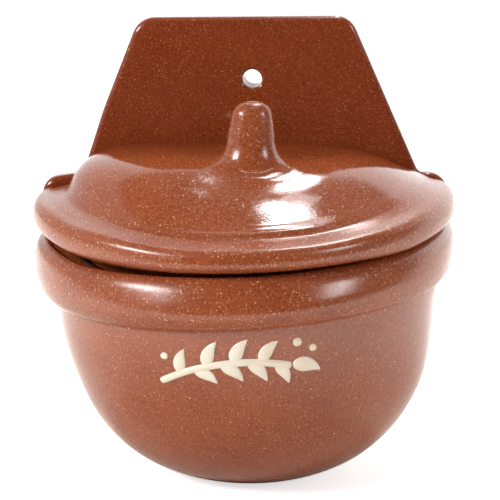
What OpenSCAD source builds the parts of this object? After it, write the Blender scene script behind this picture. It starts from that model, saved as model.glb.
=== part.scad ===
// Salt pig of glazed earthenware: a thrown bowl, cut straight behind, luted to a flat back plate
// with a hanging hole, and closed by a loose domed lid with a lug. Millimetres, +Z up, +Y to the wall.
// The origin is the centre of the foot's underside, on the axis that the bowl was thrown about.

/* [Bowl] */
// Radius of the flat foot that the pot stands on
foot_r = 21; // [16:0.5:28]
// Outer radius of the wall where the collar starts
wall_r = 59.2; // [52:0.1:70]
// Height of the wall from the foot to the collar's lower edge
wall_h = 56; // [46:0.5:70]
// Thickness of the thrown wall
wall_t = 6; // [4:0.1:8]
// Thickness of the floor
floor_t = 7; // [5:0.1:10]
// Slope of the wall where it leaves the foot, in degrees
foot_slope = 17; // [8:1:26]
// Outward lean of the wall under the collar, in degrees
wall_lean = 6; // [0:1:10]

/* [Collar] */
// How far the collar stands out from the wall
collar_out = 6.1; // [3.5:0.1:9]
// Height of the collar
collar_h = 19.5; // [14:0.5:26]
// Rise of the collar's underside from the wall to the corner that it rounds
collar_tuck = 3; // [1:0.1:5]
// Height of the collar's rounded lower edge
collar_under = 11; // [7:0.5:12]
// Width of the rounding on the collar's upper edge
collar_round = 3.2; // [1.5:0.1:4.5]
// Height of the rounding on the collar's upper edge
collar_over = 4; // [2:0.1:5]

/* [Back plate] */
// Distance of the plate's front face behind the bowl's axis
plate_y = 14; // [8:0.5:20]
// Thickness of the plate
plate_t = 6.5; // [5:0.1:9]
// Height of the plate's top edge above the rim
plate_rise = 66.4; // [52:0.1:84]
// Width of the plate at its top edge
plate_top_w = 66.5; // [50:0.5:84]
// Width of each shoulder beside the part that tapers
shoulder_w = 12.3; // [9:0.1:18]
// Height of the shoulders above the rim
shoulder_rise = 17; // [12:0.5:22]
// Rounding of the shoulders' outer corners
shoulder_round = 7; // [3:0.5:9]
// Rounding of the plate's top corners
plate_round = 5; // [2:0.5:9]
// Diameter of the hanging hole
hole_d = 5.9; // [4:0.1:9]
// Distance of the hole's centre below the top edge
hole_drop = 19.5; // [12:0.5:26]

/* [Lid] */
// Gap between the lid's straight edge and the plate
lid_gap = 0.8; // [0.4:0.1:2]
// Gap between the lid's underside and the rim that it rests on
seat_gap = 0.2; // [0.1:0.05:0.3]
// How far the lid's rolled flange stays inside the collar's widest line
flange_in = 0.2; // [0.1:0.1:2]
// Height of the rolled flange in front
flange_h = 9.2; // [7:0.1:12]
// How far the flange's crest and the dome's foot rise from the front to the sides beside the plate
side_rise = 5; // [0:0.1:7]
// Width of the flange's roll from its outer edge to its crest
roll_w = 7; // [5:0.1:9]
// Width of the groove from the flange's crest to the foot of the dome
groove_w = 2; // [1:0.1:4]
// Depth of the groove below the flange's crest in front, running out to nothing at the sides
groove_d = 0.6; // [0.2:0.1:1.5]
// Rise of the dome above the flange's crest in front
dome_h = 17.2; // [12:0.1:23]
// Thickness of the dome
lid_t = 6.5; // [5:0.1:8]

/* [Locating ring] */
// Gap between the ring and the bowl's mouth
ring_gap = 2.5; // [1.5:0.1:4]
// Thickness of the ring
ring_t = 4.5; // [3:0.1:6]
// Depth of the ring below the lid's underside
ring_h = 7; // [4:0.5:10]

/* [Lug] */
// Distance of the lug in front of the bowl's axis
lug_y = 21; // [12:0.5:24]
// Width of the lug below its rounded tip
lug_w = 13.4; // [10:0.1:17]
// Depth of the lug from front to back below its rounded tip
lug_d = 12; // [9:0.1:15]
// Height of the lug above the dome's top
lug_h = 18; // [14:0.1:24]
// Width of the flared foot of the lug
lug_foot_w = 25; // [20:0.5:30]
// Depth of the flared foot of the lug
lug_foot_d = 27; // [20:0.5:30]
// How far the foot of the lug's outline starts below the dome's surface
lug_sink = 1.3; // [0.5:0.1:3]

/* [Hidden] */

// Shares of the lengths that the curves follow
foot_pull_share = 0.46;
wall_pull_share = 0.56;
round_pull_share = 0.55;
flange_foot_share = 0.05;
flange_front_share = 0.36;
flange_side_share = 0.5;
dome_foot_in_share = 0.07;
dome_front_rise_share = 0.37;
dome_side_rise_share = 0.7;
dome_front_pull_share = 0.5;
dome_side_pull_share = 0.71;
lug_shoulder_share = 0.68;
lug_waist_share = 1.12;
lug_flare_pull_share = 0.3;

// Numbers of steps along a curve and round a ring
curve_steps = 16;
corner_steps = 6;
lug_steps = 10;
lug_sides = 32;
flange_steps = 5;
dome_steps = 8;
lid_sides = 48;

// Heights and radii that follow from the sizes above
rim_z = wall_h + collar_h;
plate_h = rim_z + plate_rise;
collar_r = wall_r + collar_out;
plate_base_w = 2 * (collar_r - shoulder_w);
flange_r = collar_r - flange_in;
crest_r = flange_r - roll_w;
groove_r = crest_r - groove_w;
mouth_r = wall_r - wall_t;
lid_y = plate_y - lid_gap;
lid_z = rim_z + seat_gap;
crest_z = lid_z + flange_h;
dome_z = crest_z + dome_h;
ring_r = mouth_r - ring_gap;
hollow_r = ring_r - ring_t;
shoulder_z = rim_z + shoulder_rise;
lug_z = dome_z + lug_h;
reach = plate_h + flange_r;
overrun = wall_t;

clay = [0.62, 0.34, 0.22];
dark_clay = [0.48, 0.22, 0.12];

// A point and the direction of travel on a cubic curve with four control points
function bezier(p, t) =
    pow(1 - t, 3) * p[0] + 3 * t * pow(1 - t, 2) * p[1] + 3 * t * t * (1 - t) * p[2] + pow(t, 3) * p[3];
function heading(p, t) =
    pow(1 - t, 2) * (p[1] - p[0]) + 2 * t * (1 - t) * (p[2] - p[1]) + t * t * (p[3] - p[2]);
function curve(p, steps = curve_steps) = [for (i = [0:steps]) bezier(p, i / steps)];

// The same curve moved to its left by a distance
function left_of(p, d, steps = curve_steps) = [
    for (i = [0:steps])
        let (t = i / steps, v = heading(p, t) / norm(heading(p, t)))
            bezier(p, t) + d * [-v[1], v[0]]
];

// A quarter turn from one corner-side point to another, bulging towards the corner
function quarter(a, corner, b) =
    [a, a + round_pull_share * (corner - a), b + round_pull_share * (corner - b), b];

// A closed outline with each corner rounded by its own radius
function rounded(points, radii) = [
    for (i = [0:len(points) - 1])
        let (
            p = points[i],
            before = points[(i + len(points) - 1) % len(points)] - p,
            after = points[(i + 1) % len(points)] - p,
            a = before / norm(before),
            b = after / norm(after),
            half = acos(a * b) / 2,
            back = radii[i] / tan(half)
        )
            each (radii[i] == 0 ? [p] : curve(quarter(p + back * a, p, p + back * b), corner_steps))
];

// Outer line of the bowl's wall, from the foot up to the collar's lower edge
wall_curve = [
    [foot_r, 0],
    [foot_r, 0] + foot_pull_share * wall_h * [cos(foot_slope), sin(foot_slope)],
    [wall_r, wall_h] - wall_pull_share * wall_h * [sin(wall_lean), cos(wall_lean)],
    [wall_r, wall_h]
];

// Outer line of the collar: a rounded underside, an upright face and a rounded upper edge
collar_low = quarter([wall_r, wall_h], [collar_r, wall_h + collar_tuck], [collar_r, wall_h + collar_under]);
collar_top = quarter([collar_r, rim_z - collar_over], [collar_r, rim_z], [collar_r - collar_round, rim_z]);
collar_outline = concat(curve(collar_low), curve(collar_top));

// A value between the front's and the sides', and how far a direction goes sideways: its cosine squared
function mix(front, side, w) = front + w * (side - front);
function sideways(k) = pow(cos(360 * k / lid_sides), 2);

// Outer line of the lid in one direction: the flange's rolled edge, its crest, the groove and the dome
flange_foot_r = flange_r * (1 - flange_foot_share);
function crest_at(w) = crest_z + side_rise * w;
function groove_at(w) = crest_at(w) - groove_d * (1 - w);
function wide_at(w) = mix(lid_z, crest_at(w), mix(flange_front_share, flange_side_share, w));
function flange_under(w) = quarter([flange_foot_r, lid_z], [flange_r, lid_z], [flange_r, wide_at(w)]);
function flange_over(w) = quarter([flange_r, wide_at(w)], [flange_r, crest_at(w)], [crest_r, crest_at(w)]);
function dome_curve(r, foot_z, top_z, w) = [
    [r, foot_z],
    [r * (1 - dome_foot_in_share), mix(foot_z, top_z, mix(dome_front_rise_share, dome_side_rise_share, w))],
    [r * mix(dome_front_pull_share, dome_side_pull_share, w), top_z],
    [0, top_z]
];
function outer_dome(w) = dome_curve(groove_r, groove_at(w), dome_z, w);
function inner_dome(w) = dome_curve(hollow_r, groove_at(w), dome_z - lid_t, w);
function without_last(points) = [for (i = [0:len(points) - 2]) points[i]];
function lid_outline(w) = concat(
    curve(flange_under(w), flange_steps),
    [for (i = [1:flange_steps]) bezier(flange_over(w), i / flange_steps)],
    without_last(curve(outer_dome(w), dome_steps))
);
function reversed(points) = [for (i = [1:len(points)]) points[len(points) - i]];
function hollow_outline(w) =
    concat(reversed(without_last(curve(inner_dome(w), dome_steps))), [[hollow_r, lid_z]]);

// Keeps what lies in front of a plane across the pot
module in_front_of(y) {
    intersection() {
        children();
        translate([-reach, y - 2 * reach, -reach]) cube(2 * reach);
    }
}

// A profile in radius and height, turned about the bowl's axis
module turned(outline) {
    rotate_extrude($fn = 128) polygon(outline);
}

// The bowl as one solid lump, up to the rim
module bowl_lump() {
    turned(concat([[0, 0]], curve(wall_curve), [[wall_r, rim_z], [0, rim_z]]));
}

// The space inside the bowl, open at the mouth
module bowl_hollow() {
    inner = [for (p = left_of(wall_curve, wall_t)) if (p[1] > floor_t && p[0] < mouth_r) p];
    turned(concat(
        [[0, floor_t], [inner[0][0], floor_t]],
        inner,
        [[mouth_r, inner[len(inner) - 1][1]], [mouth_r, rim_z + overrun], [0, rim_z + overrun]]
    ));
}

module collar_lump() {
    turned(concat([[wall_r, rim_z]], collar_outline));
}

// A closed solid of rings with equal numbers of points, from a point below the first to one above the last
module ringed(rings, foot, tip) {
    sides = len(rings[0]);
    last = len(rings) - 1;
    bottom = len(rings) * sides;
    walls = [
        for (j = [0:last - 1], k = [0:sides - 1])
            let (a = j * sides + k, b = j * sides + (k + 1) % sides)
                each [[a, a + sides, b + sides], [a, b + sides, b]]
    ];
    ends = [
        for (k = [0:sides - 1])
            let (n = (k + 1) % sides, top = last * sides)
                each [[bottom, k, n], [bottom + 1, top + n, top + k]]
    ];
    polyhedron(concat([for (ring = rings) each ring], [foot, tip]), concat(walls, ends));
}

// One outline for each direction round the bowl's axis, joined into a solid
module shaped(outlines, foot_z, tip_z) {
    rings = [
        for (j = [0:len(outlines[0]) - 1])
            [for (k = [0:lid_sides - 1])
                let (turn = 360 * k / lid_sides, p = outlines[k][j])
                    [p[0] * cos(turn), p[0] * sin(turn), p[1]]]
    ];
    ringed(rings, [0, 0, foot_z], [0, 0, tip_z]);
}

// The dome and its flange as one solid lump, down to the flat underside
module lid_lump() {
    shaped([for (k = [0:lid_sides - 1]) lid_outline(sideways(k))], lid_z, dome_z);
}

// The dome and its flange, hollow from below
module lid_shell() {
    outlines = [
        for (k = [0:lid_sides - 1])
            concat(hollow_outline(sideways(k)), lid_outline(sideways(k)))
    ];
    shaped(outlines, dome_z - lid_t, dome_z);
}

// Front outline of the plate: the shoulders, and the part that tapers up from them to the top edge
function plate_outline() =
    rounded(
        [
            [-collar_r, 0], [collar_r, 0], [collar_r, shoulder_z], [plate_base_w / 2, shoulder_z],
            [plate_top_w / 2, plate_h], [-plate_top_w / 2, plate_h],
            [-plate_base_w / 2, shoulder_z], [-collar_r, shoulder_z]
        ],
        [0, 0, shoulder_round, 0, plate_round, plate_round, 0, shoulder_round]
    );

// Half width, half depth and height of the lug: a flared foot, a waist and a rounded tip
lug_foot_z = lookup(lug_y + lug_foot_d / 2, curve(outer_dome(0))) - lug_sink;
lug_shoulder_z = dome_z + lug_shoulder_share * lug_h;
lug_side = [
    [lug_foot_w / 2, lug_foot_d / 2, lug_foot_z],
    [lug_waist_share * lug_w / 2, lug_waist_share * lug_d / 2, lug_foot_z + lug_flare_pull_share * lug_h],
    [lug_waist_share * lug_w / 2, lug_waist_share * lug_d / 2, dome_z + lug_flare_pull_share * lug_h],
    [lug_w / 2, lug_d / 2, lug_shoulder_z]
];
lug_tip = quarter([lug_w / 2, lug_d / 2, lug_shoulder_z], [lug_w / 2, lug_d / 2, lug_z], [0, 0, lug_z]);
lug_levels = concat(curve(lug_side, lug_steps), [for (i = [1:lug_steps - 1]) bezier(lug_tip, i / lug_steps)]);

// The lug as one closed solid of elliptical rings, reaching down into the dome
module lug_lump() {
    rings = [
        for (level = lug_levels)
            [for (k = [0:lug_sides - 1])
                let (turn = 360 * k / lug_sides)
                    [level[0] * cos(turn), level[1] * sin(turn) - lug_y, level[2]]]
    ];
    ringed(rings, [0, -lug_y, lug_foot_z], [0, -lug_y, lug_z]);
}

module bowl() {
    color(clay) in_front_of(plate_y) difference() {
        bowl_lump();
        bowl_hollow();
    }
}

module rim_collar() {
    color(clay) in_front_of(plate_y) collar_lump();
}

module back_plate() {
    color(dark_clay) difference() {
        intersection() {
            translate([0, plate_y + plate_t, 0]) rotate([90, 0, 0]) linear_extrude(plate_t)
                polygon(plate_outline());
            union() {
                bowl_lump();
                collar_lump();
                translate([0, 0, wall_h + collar_under]) cylinder(h = plate_h, r = collar_r, $fn = 128);
            }
        }
        translate([0, plate_y + plate_t + overrun, plate_h - hole_drop]) rotate([90, 0, 0])
            cylinder(h = plate_t + 2 * overrun, d = hole_d, $fn = 48);
    }
}

module lid() {
    color(clay) in_front_of(lid_y) lid_shell();
}

module lid_locating_ring() {
    color(clay) in_front_of(lid_y)
        turned([[hollow_r, lid_z - ring_h], [ring_r, lid_z - ring_h], [ring_r, lid_z], [hollow_r, lid_z]]);
}

module lid_lug() {
    color(clay) difference() {
        lug_lump();
        lid_lump();
    }
}

bowl();
rim_collar();
back_plate();
lid();
lid_locating_ring();
lid_lug();
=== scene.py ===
"""Salt pig in glazed terracotta: pot, back plate, lid and slip sprig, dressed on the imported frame."""
import math

import bmesh
import bpy
import numpy as np
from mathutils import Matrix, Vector
from mathutils.geometry import delaunay_2d_cdt


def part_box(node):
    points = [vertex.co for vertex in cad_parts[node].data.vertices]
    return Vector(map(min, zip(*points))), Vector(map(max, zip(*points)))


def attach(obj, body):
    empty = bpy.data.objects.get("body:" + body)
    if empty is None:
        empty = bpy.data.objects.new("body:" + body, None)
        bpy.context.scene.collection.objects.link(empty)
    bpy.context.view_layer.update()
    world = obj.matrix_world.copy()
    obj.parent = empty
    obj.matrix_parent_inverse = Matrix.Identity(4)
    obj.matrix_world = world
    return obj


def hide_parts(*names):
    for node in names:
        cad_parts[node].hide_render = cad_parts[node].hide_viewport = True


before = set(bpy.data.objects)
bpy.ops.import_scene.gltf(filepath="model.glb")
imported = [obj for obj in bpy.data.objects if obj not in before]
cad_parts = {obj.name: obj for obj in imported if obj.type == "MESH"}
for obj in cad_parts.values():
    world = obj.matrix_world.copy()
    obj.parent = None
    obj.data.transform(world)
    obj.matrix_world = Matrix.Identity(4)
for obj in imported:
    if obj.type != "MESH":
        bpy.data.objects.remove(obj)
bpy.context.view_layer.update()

# Shapes are worked out in millimetres and written in metres; finishes and lamps are in metres
MM = 0.001
WELD = 0.000004
TINY = 1.0e-9
SAME = 1.0e-6
QUARTER = 0.5 * math.pi

# Rings are set close together where a turned shell first meets its cut plane
NEAR_CUT = np.array([0.0, 0.02, 0.08, 0.25, 0.6, 1.2])


# Sizes read from the frame
def depths(node):
    """Front and back of a CAD node along y, in millimetres."""
    low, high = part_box(node)
    return low[1] / MM, high[1] / MM


PLATE_FRONT, PLATE_BACK = depths("back_plate")
LID_CUT = depths("lid")[1]


# Camera at the photograph's viewing angle
scene = bpy.context.scene
AIM = Vector((0.0, 0.0, 0.070))
CAMERA_DISTANCE = 0.850
CAMERA_RISE = 12.0
CAMERA_LENS = 194.9
CAMERA_SENSOR = 36.0


def placed(name, data):
    """An object at the origin, put into the scene."""
    made = bpy.data.objects.new(name, data)
    scene.collection.objects.link(made)
    return made


def aimed(name, data, side, rise, distance):
    """A camera or lamp that looks at the pot, side degrees round from the front to the right and rise up."""
    turn = math.radians(side)
    up = math.radians(rise)
    way = Vector((math.sin(turn) * math.cos(up), -math.cos(turn) * math.cos(up), math.sin(up)))
    made = placed(name, data)
    made.location = AIM + way * distance
    made.rotation_euler = way.to_track_quat("Z", "Y").to_euler()
    return made


camera_data = bpy.data.cameras.new("camera")
camera_data.lens = CAMERA_LENS
camera_data.sensor_width = CAMERA_SENSOR
scene.camera = aimed("camera", camera_data, 0.0, CAMERA_RISE, CAMERA_DISTANCE)


# Working with arrays
SPLINE_SAMPLES = 24
ARC_POINTS = 16
FILL_CLEARANCE = 0.6
FILL_NEAR = 1.0e-5
FILL_INSIDE = 1


def smoothstep(low, high, value):
    """0 below low and 1 above high, with 3t squared less 2t cubed between them."""
    t = np.clip((value - low) / (high - low), 0.0, 1.0)
    return t * t * (3.0 - 2.0 * t)


def bell(middle, width, value):
    """1 in the middle, and e to minus the square of the distance in widths to both sides."""
    return np.exp(-((value - middle) / width) ** 2)


def toward(pull):
    """Share of a direction: the square of its cosine or sine where that is positive."""
    return np.clip(pull, 0.0, 1.0) ** 2


def wobble(waves, angle):
    """A sum of cosines round the axis, each with a height, a number of lobes and a start."""
    return sum(height * np.cos(lobes * angle + start) for height, lobes, start in waves)


def full_turn(count):
    """Angles of a whole turn in equal steps, without the one that repeats the first."""
    return np.linspace(0.0, 4 * QUARTER, count + 1)[:-1]


def square_to(along):
    """Unit vectors a quarter turn to the left of rows of vectors."""
    along = along / np.maximum(np.linalg.norm(along, axis=1), TINY)[:, None]
    return np.stack([-along[:, 1], along[:, 0]], axis=1)


def at_depth(points, depth):
    """Points of the x-z plane at a depth y, one for all of them or one for each."""
    return np.stack([points[:, 0], np.broadcast_to(depth, len(points)), points[:, 1]], axis=1)


def bezier(start, first_pull, second_pull, end, count):
    """Cubic curve: the sum of its four points times (1-t)^3, 3t(1-t)^2, 3t^2(1-t) and t^3."""
    t = np.linspace(0.0, 1.0, count)[:, None]
    points = np.array([start, first_pull, second_pull, end], dtype=float)
    shares = np.hstack([(1 - t) ** 3, 3 * t * (1 - t) ** 2, 3 * t * t * (1 - t), t ** 3])
    return shares @ points


def chain(*runs):
    """Runs of points one after another, without the points that repeat."""
    joined = np.concatenate(runs)
    gap = np.linalg.norm(np.diff(joined, axis=0), axis=1)
    keep = np.concatenate([[True], gap > SAME])
    return joined[keep]


def evenly(points, step):
    """The same line with a point about every step along it."""
    run = np.concatenate([[0.0], np.cumsum(np.linalg.norm(np.diff(points, axis=0), axis=1))])
    count = max(2, int(round(run[-1] / step)) + 1)
    at = np.linspace(0.0, run[-1], count)
    return np.stack([np.interp(at, run, values) for values in points.T], axis=1)


def through(points, samples):
    """Samples of a smooth line: cubic Hermite pieces whose slope at a point is set by its two neighbours."""
    points = np.array(points, dtype=float)
    before = np.vstack([2 * points[0] - points[1], points[:-1]])
    after = np.vstack([points[1:], 2 * points[-1] - points[-2]])
    reach_before = np.sqrt(np.linalg.norm(points - before, axis=1))[:, None]
    reach_after = np.sqrt(np.linalg.norm(after - points, axis=1))[:, None]
    slope = ((points - before) / reach_before ** 2 * reach_after ** 2
             + (after - points) / reach_after ** 2 * reach_before ** 2)
    slope = slope / (reach_before ** 2 + reach_after ** 2)
    t = np.linspace(0.0, 1.0, samples + 1)[None, :-1, None]
    length = np.linalg.norm(np.diff(points, axis=0), axis=1)[:, None, None]
    start = points[:-1, None]
    end = points[1:, None]
    leave = slope[:-1, None] * length
    arrive = slope[1:, None] * length
    curve = ((2 * t ** 3 - 3 * t * t + 1) * start + (t ** 3 - 2 * t * t + t) * leave
             + (3 * t * t - 2 * t ** 3) * end + (t ** 3 - t * t) * arrive)
    return np.vstack([curve.reshape(-1, points.shape[1]), points[-1:]])


def spline(points, step):
    """A smooth line through points with a sample about every step along it."""
    return evenly(through(points, SPLINE_SAMPLES), step)


def rounded(points, radii, step):
    """Straight lines between points with an arc of the given radius at each inner corner."""
    points = np.array(points, dtype=float)
    run = [points[:1]]
    for corner, radius in enumerate(radii, start=1):
        here = points[corner]
        inward = points[corner - 1] - here
        onward = points[corner + 1] - here
        inward = inward / np.linalg.norm(inward)
        onward = onward / np.linalg.norm(onward)
        half_turn = 0.5 * math.acos(np.clip(np.dot(inward, onward), -1.0, 1.0))
        cut = radius / math.tan(half_turn)
        between = (inward + onward) / np.linalg.norm(inward + onward)
        middle = here + between * radius / math.sin(half_turn)
        first = here + inward * cut - middle
        last = here + onward * cut - middle
        sweep = math.acos(np.clip(np.dot(first, last) / np.dot(first, first), -1.0, 1.0))
        t = np.linspace(0.0, 1.0, ARC_POINTS)[:, None]
        arc = (np.sin((1 - t) * sweep) * first + np.sin(t * sweep) * last) / math.sin(sweep)
        run.append(middle + arc)
    run.append(points[-1:])
    return evenly(chain(*run), step)


def insert_radii(profile, radii):
    """The profile with a point added where each of its lines crosses one of the given radii."""
    for radius in radii:
        gap = profile[:, 0] - radius
        crossing = np.nonzero(gap[:-1] * gap[1:] < 0)[0]
        share = gap[crossing] / (gap[crossing] - gap[crossing + 1])
        added = profile[crossing] + share[:, None] * (profile[crossing + 1] - profile[crossing])
        added[:, 0] = radius
        profile = np.insert(profile, crossing + 1, added, axis=0)
    return profile


def patch(grid, closed=False):
    """A grid of points with its quads; a closed grid also joins its last column to its first."""
    rows, columns = grid.shape[:2]
    row = np.arange(rows - 1)[:, None]
    column = np.arange(columns if closed else columns - 1)[None, :]
    after = (column + 1) % columns
    corners = [row * columns + column, row * columns + after,
               (row + 1) * columns + after, (row + 1) * columns + column]
    return grid, np.stack(corners, axis=-1).reshape(-1, 4)


def inside(points, loops):
    """Even-odd rule: a point is inside where a line to its right crosses the loops an odd number of times."""
    crossings = np.zeros(len(points), dtype=int)
    across, up = points[:, :1], points[:, 1:]
    for loop in loops:
        x, y = loop.T
        next_x, next_y = np.roll(loop, -1, axis=0).T
        rise = next_y - y
        rise = np.where(np.abs(rise) < TINY, TINY, rise)
        meets = x + (up - y) * ((next_x - x) / rise)
        crossings += np.sum(((y > up) != (next_y > up)) & (across < meets), axis=1)
    return crossings % 2 == 1


def filled(loops, step):
    """Triangles over the first loop less the others, on the loops' points and an inner grid."""
    across, up = [np.arange(values.min(), values.max(), step) for values in loops[0].T]
    inner = np.stack(np.meshgrid(across, up), axis=-1).reshape(-1, 2)
    inner = inner[inside(inner, loops)]
    edge = np.concatenate(loops)
    near = np.min(np.sum((inner[:, None] - edge) ** 2, axis=2), axis=1)
    inner = inner[near > (FILL_CLEARANCE * step) ** 2]
    corners = [Vector(corner) for corner in np.concatenate([edge, inner]).tolist()]
    edges = []
    start = 0
    for loop in loops:
        index = np.arange(len(loop)) + start
        edges.extend(np.stack([index, np.roll(index, -1)], axis=1).tolist())
        start += len(loop)
    found = delaunay_2d_cdt(corners, edges, [], FILL_INSIDE, FILL_NEAR)
    points = np.array([point[:] for point in found[0]])
    triangles = np.array(found[2])
    return points, triangles[~inside(points[triangles].mean(axis=1), loops[1:])]


def cap(loops, depth, step):
    """A flat face at a depth y that fills the first loop of the x-z plane less the others."""
    points, triangles = filled(loops, step)
    return at_depth(points, depth), triangles


def inward_normals(loop):
    """Unit vectors into a closed loop of the x-z plane, square to the line between a point's neighbours."""
    square = square_to(np.roll(loop, -1, axis=0) - np.roll(loop, 1, axis=0))
    area = np.sum(loop[:, 0] * np.roll(loop[:, 1], -1) - np.roll(loop[:, 0], -1) * loop[:, 1])
    turn = 1.0 if area > 0 else -1.0
    return turn * square


def make_piece(name, patches, material):
    """One welded mesh from patches of points in millimetres and faces, turned outwards and shaded smooth."""
    points = np.concatenate([patch_points.reshape(-1, 3) for patch_points, patch_faces in patches]) * MM
    faces = []
    start = 0
    for patch_points, patch_faces in patches:
        faces.extend((patch_faces + start).tolist())
        start += patch_points.size // 3
    mesh = bpy.data.meshes.new(name)
    mesh.from_pydata(points.tolist(), [], faces)
    work = bmesh.new()
    work.from_mesh(mesh)
    bmesh.ops.remove_doubles(work, verts=work.verts, dist=WELD)
    bmesh.ops.recalc_face_normals(work, faces=work.faces)
    work.to_mesh(mesh)
    work.free()
    mesh.polygons.foreach_set("use_smooth", np.ones(len(mesh.polygons), dtype=bool))
    mesh.materials.append(material)
    return placed(name, mesh)


# Working with nodes: a value is a number, a colour, a vector or another node's socket
def put(tree, kind, values=None, **settings):
    """A node of the given kind with its settings, and each value set on its socket or linked to it."""
    made = tree.nodes.new(kind)
    for key, value in settings.items():
        setattr(made, key, value)
    for key, value in (values or {}).items():
        if isinstance(value, bpy.types.NodeSocket):
            tree.links.new(value, made.inputs[key])
        else:
            made.inputs[key].default_value = value
    return made


def maths(tree, operation, *values):
    """The result of an operation on numbers; MULTIPLY_ADD is the first times the second plus the third."""
    return put(tree, "ShaderNodeMath", dict(enumerate(values)), operation=operation).outputs["Value"]


def vector_maths(tree, operation, *values):
    """The outputs of an operation on vectors."""
    return put(tree, "ShaderNodeVectorMath", dict(enumerate(values)), operation=operation).outputs


def split(tree, vector):
    """The parts of a vector along X, Y and Z."""
    return put(tree, "ShaderNodeSeparateXYZ", {"Vector": vector}).outputs


def ramp(tree, value, low, high, start=0.0, end=1.0, kind="SMOOTHSTEP"):
    """From start to end as a value goes from low to high: 3t squared less 2t cubed, or a straight line."""
    values = {"Value": value, "From Min": low, "From Max": high, "To Min": start, "To Max": end}
    return put(tree, "ShaderNodeMapRange", values, interpolation_type=kind).outputs["Result"]


def noise(tree, place, scale, detail, roughness):
    """Noise of a scale in patches a metre, with finer octaves to the depth and strength given."""
    values = {"Vector": place, "Scale": scale, "Detail": detail, "Roughness": roughness}
    return put(tree, "ShaderNodeTexNoise", values).outputs["Fac"]


def mixed(tree, share, under, over, kind="MIX"):
    """Colour mix of two colours by a share."""
    values = {0: share, 6: under, 7: over}
    return put(tree, "ShaderNodeMix", values, data_type="RGBA", blend_type=kind).outputs[2]


def mixed_light(tree, share, under, over):
    """Mix of two shaders by a share."""
    return put(tree, "ShaderNodeMixShader", {0: share, 1: under, 2: over}).outputs["Shader"]


def added_light(tree, first, second):
    """Sum of two shaders."""
    return put(tree, "ShaderNodeAddShader", {0: first, 1: second}).outputs["Shader"]


def tone(red, green, blue):
    """A colour given as it looks on screen, 0 to 255, as the linear colour that a shader takes."""
    shown = np.array([red, green, blue]) / 255.0
    linear = np.where(shown <= 0.04045, shown / 12.92, ((shown + 0.055) / 1.055) ** 2.4)
    return (*linear.tolist(), 1.0)


def new_group(name, inputs, outputs):
    """An empty node group, with the sockets of its place and numbers, and those that it fills."""
    tree = bpy.data.node_groups.new(name, "ShaderNodeTree")
    tree.interface.new_socket("Vector", in_out="INPUT", socket_type="NodeSocketVector")
    for side, labels in (("INPUT", inputs), ("OUTPUT", outputs)):
        for label in labels:
            tree.interface.new_socket(label, in_out=side, socket_type="NodeSocketFloat")
    return tree, tree.nodes.new("NodeGroupInput").outputs, tree.nodes.new("NodeGroupOutput").inputs


# Finishes: a ramp is given by its start and end, and by the values there where they aren't 0 and 1
GLAZE_IOR = 1.58
PEEL_NOISE = (1200.0, 1.0, 0.5)
WAVE_NOISE = (170.0, 1.0, 0.4)
CLOUD_NOISE = (60.0, 3.0, 0.55)
PEEL_SHARE = 0.4
BUMP_STRENGTH = 0.35
BUMP_DEPTH = 0.00012
FLECK_SIZES = (0.0, 1.0, 0.45, 1.0)
FLECK_STRENGTHS = (0.0, 1.0, 0.25, 1.0)
FLECK_CORE = 0.5


def fleck_group():
    """Grains in the clay: round spots of random size and strength in some cells of a Voronoi pattern.

    A spot is full in its core and fades out smoothly from there to its reach.
    """
    tree, entry, result = new_group("clay_flecks", ["Cells", "Size", "Share"], ["Fleck"])
    pattern = {"Vector": entry["Vector"], "Scale": entry["Cells"], "Randomness": 1.0}
    cells = put(tree, "ShaderNodeTexVoronoi", pattern, voronoi_dimensions="3D", feature="F1").outputs
    chance = put(tree, "ShaderNodeSeparateColor", {"Color": cells["Color"]}).outputs
    kept = maths(tree, "LESS_THAN", chance["Red"], entry["Share"])
    spread = ramp(tree, chance["Green"], *FLECK_SIZES, kind="LINEAR")
    reach = maths(tree, "MULTIPLY", spread, entry["Size"])
    core = maths(tree, "MULTIPLY", reach, FLECK_CORE)
    spot = ramp(tree, cells["Distance"], core, reach, 1.0, 0.0)
    strength = ramp(tree, chance["Blue"], *FLECK_STRENGTHS, kind="LINEAR")
    weighed = maths(tree, "MULTIPLY", maths(tree, "MULTIPLY", spot, kept), strength)
    tree.links.new(weighed, result["Fleck"])
    return tree


def skin_group():
    """The glaze's surface: a height of orange peel on longer waves, and a cloud that varies its gloss."""
    tree, entry, result = new_group("glaze_skin", ["Peel", "Waves"], ["Height", "Cloud"])
    patterns = (PEEL_NOISE, WAVE_NOISE, CLOUD_NOISE)
    peel, waves, cloud = [noise(tree, entry["Vector"], *pattern) for pattern in patterns]
    fine = maths(tree, "MULTIPLY", peel, entry["Peel"])
    tree.links.new(maths(tree, "MULTIPLY_ADD", waves, entry["Waves"], fine), result["Height"])
    tree.links.new(cloud, result["Cloud"])
    return tree


FLECKS = fleck_group()
SKIN = skin_group()


def flecks(tree, place, cells, size, share):
    """Flecks from the group: cells a metre, their size against a cell, and the share of cells with one."""
    values = {"Vector": place, "Cells": cells, "Size": size, "Share": share}
    return put(tree, "ShaderNodeGroup", values, node_tree=FLECKS).outputs["Fleck"]


def new_material(name):
    """A new material and its node tree."""
    material = bpy.data.materials.new(name)
    material.use_nodes = True
    return material, material.node_tree


def glazed(name, waves):
    """A glazed material, its tree, its shader's sockets, the place on the object and the glaze's skin."""
    material, tree = new_material(name)
    shader = tree.nodes["Principled BSDF"].inputs
    shader["IOR"].default_value = GLAZE_IOR
    place = put(tree, "ShaderNodeTexCoord").outputs["Object"]
    values = {"Vector": place, "Peel": PEEL_SHARE, "Waves": waves}
    skin = put(tree, "ShaderNodeGroup", values, node_tree=SKIN).outputs
    return material, tree, shader, place, skin


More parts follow.
